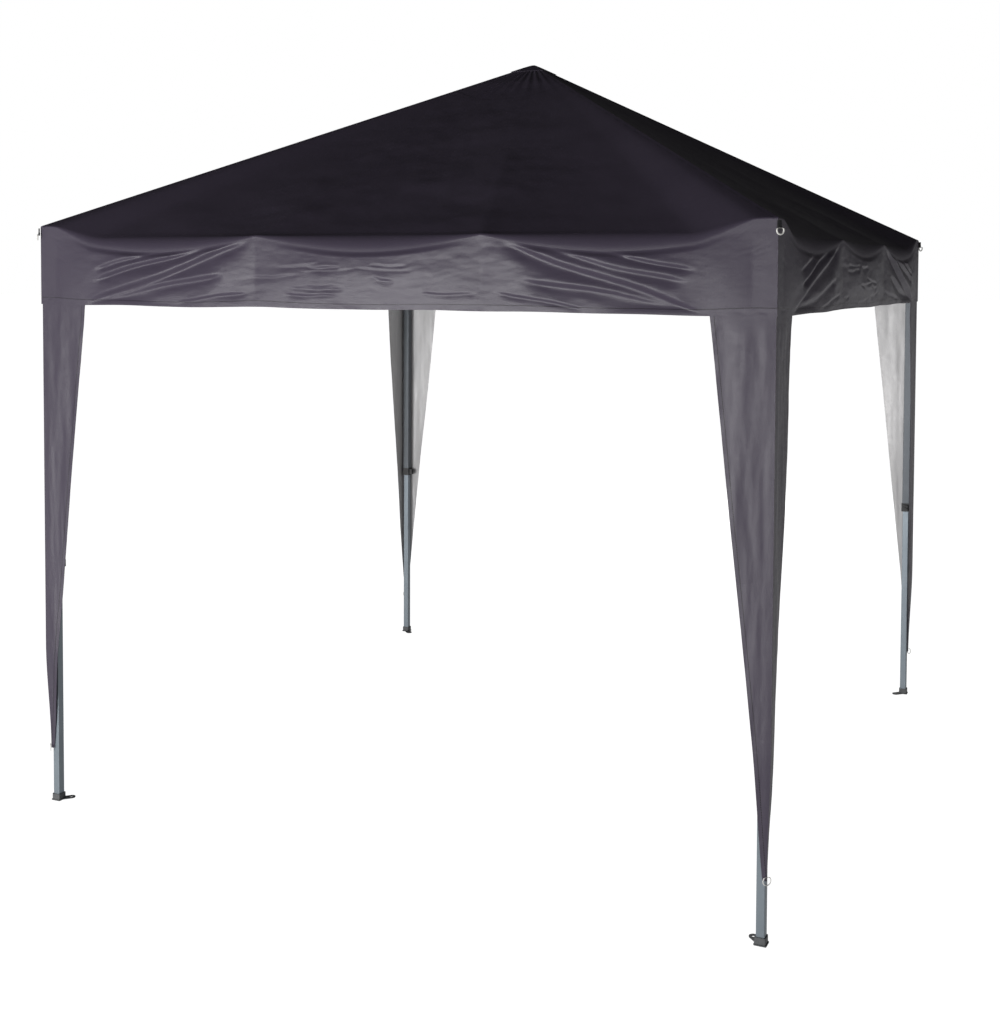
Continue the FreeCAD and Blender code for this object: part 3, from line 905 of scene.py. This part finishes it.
def make_tip_loop(number, corner):
    """The white loop that ties a curtain's tip to the lower leg."""
    loop = ring(f"tip_loop_{corner}", 0.012, 0.0014, 0.8)
    reach = LEG_AXIS + LOOP_OFFSET
    place_at_corner(loop, number, (-reach, -reach, CURTAIN_END + 0.002))
    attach(loop, f"lower_leg_{corner}")


def make_peak_patch():
    """The small reinforced cloth cap over the pole's tip, where the four panels meet."""
    bpy.ops.object.select_all(action="DESELECT")
    bpy.ops.mesh.primitive_grid_add(x_subdivisions=40, y_subdivisions=40, size=2)
    patch = bpy.context.object
    patch.name = "peak_patch"
    patch.data.name = "peak_patch"
    patch.data.uv_layers[0].name = "cloth"
    layer = patch.data.uv_layers["cloth"].data
    for loop in patch.data.loops:
        x, y = patch.data.vertices[loop.vertex_index].co[:2]
        layer[loop.index].uv = (x * PATCH, (1 - max(abs(x), abs(y))) * PATCH)
    for vertex in patch.data.vertices:
        x, y = vertex.co.x * PATCH, vertex.co.y * PATCH
        out = max(abs(x), abs(y))
        soft = math.sqrt(out * out + PATCH_TIP ** 2)
        vertex.co = (x, y, PEAK + PATCH_LIFT - soft * math.tan(SLOPE))
    line_cloth(patch, VALANCE_CLOTH)
    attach(patch, "root")


# --- light, floor and camera --------------------------------------------------------------------


def lamp(name, place, target, size, power):
    """A rectangular lamp that faces a target."""
    data = bpy.data.lights.new(name, "AREA")
    data.shape = "RECTANGLE"
    data.size, data.size_y = size
    data.energy = power
    made = bpy.data.objects.new(name, data)
    made.location = place
    made.rotation_euler = (Vector(target) - Vector(place)).to_track_quat("-Z", "Y").to_euler()
    bpy.context.scene.collection.objects.link(made)


def make_studio():
    """The camera sees a white floor and sky. The light comes from low in front, more of it from
    the left, and from two lamps."""
    world = bpy.data.worlds.new("studio")
    world.use_nodes = True
    bpy.context.scene.world = world
    sky = Nodes(world.node_tree)
    right, back, up = sky.parts_of(sky.node("ShaderNodeTexCoord", {}))
    low = ((0.30 - up) / 0.26).clamped()
    front_left = (back * -0.55 + right * -0.30 + 0.30).clamped()
    glow = low * (front_left * 0.85 + 0.10) + 0.02
    seen = sky.node("ShaderNodeLightPath", {})
    light = sky.node("ShaderNodeMath", {"operation": "MAXIMUM"}, seen, glow)
    background = world.node_tree.nodes["Background"]
    sky.feed(background.inputs["Strength"], light)
    sky.feed(background.inputs["Color"], rgb(1.0, 1.0, 1.0))

    bpy.ops.object.select_all(action="DESELECT")
    bpy.ops.mesh.primitive_plane_add(size=400, location=(0, 0, -0.0005))
    floor = bpy.context.object
    floor.name = "floor"
    pale = Shader("pale_floor")
    pale.set(Base_Color=rgb(0.25, 0.25, 0.25), Roughness=0.8)
    shown = pale.node("ShaderNodeLightPath", {})
    pale.set(Emission_Color=rgb(1.0, 1.0, 1.0), Emission_Strength=shown * 0.6 + 0.42)
    floor.data.materials.append(pale.material)

    lamp("key", (-2.2, -6.5, 0.7), (-0.2, -1.2, 1.75), (3.0, 1.2), 290)
    lamp("back", (-1.5, 6.5, 1.2), (0.0, 1.2, 1.7), (3.0, 1.5), 90)
    bpy.context.scene.view_settings.view_transform = "Standard"


EYE = Vector((2.1108, -4.7916, 1.7994))
YAW = 0.4187
PITCH = -0.0409
ROLL = 0.0051


def make_camera():
    """The camera stands in front, to the right, at about head height."""
    data = bpy.data.cameras.new("camera")
    data.sensor_fit = "HORIZONTAL"
    data.sensor_width = 36
    data.lens = 1.372 * data.sensor_width
    data.shift_x = -0.0273
    data.shift_y = -0.186
    data.clip_end = 100
    camera = bpy.data.objects.new("camera", data)
    level = math.cos(PITCH)
    ahead = Vector((-math.sin(YAW) * level, math.cos(YAW) * level, math.sin(PITCH)))
    facing = ahead.to_track_quat("-Z", "Y") @ Matrix.Rotation(ROLL, 3, "Z").to_quaternion()
    camera.rotation_mode = "QUATERNION"
    camera.rotation_quaternion = facing
    camera.location = EYE
    bpy.context.scene.collection.objects.link(camera)
    bpy.context.scene.camera = camera


make_studio()
make_camera()
finish_frame()
for number, side in enumerate(SIDES):
    make_roof(number, side)
    make_valance(number, side)
for number, corner in enumerate(CORNERS):
    make_curtain(number, corner)
    make_guy_ring(number, corner)
    make_ring_strap(number, corner)
    make_tip_loop(number, corner)
make_peak_patch()

bpy.context.view_layer.update()
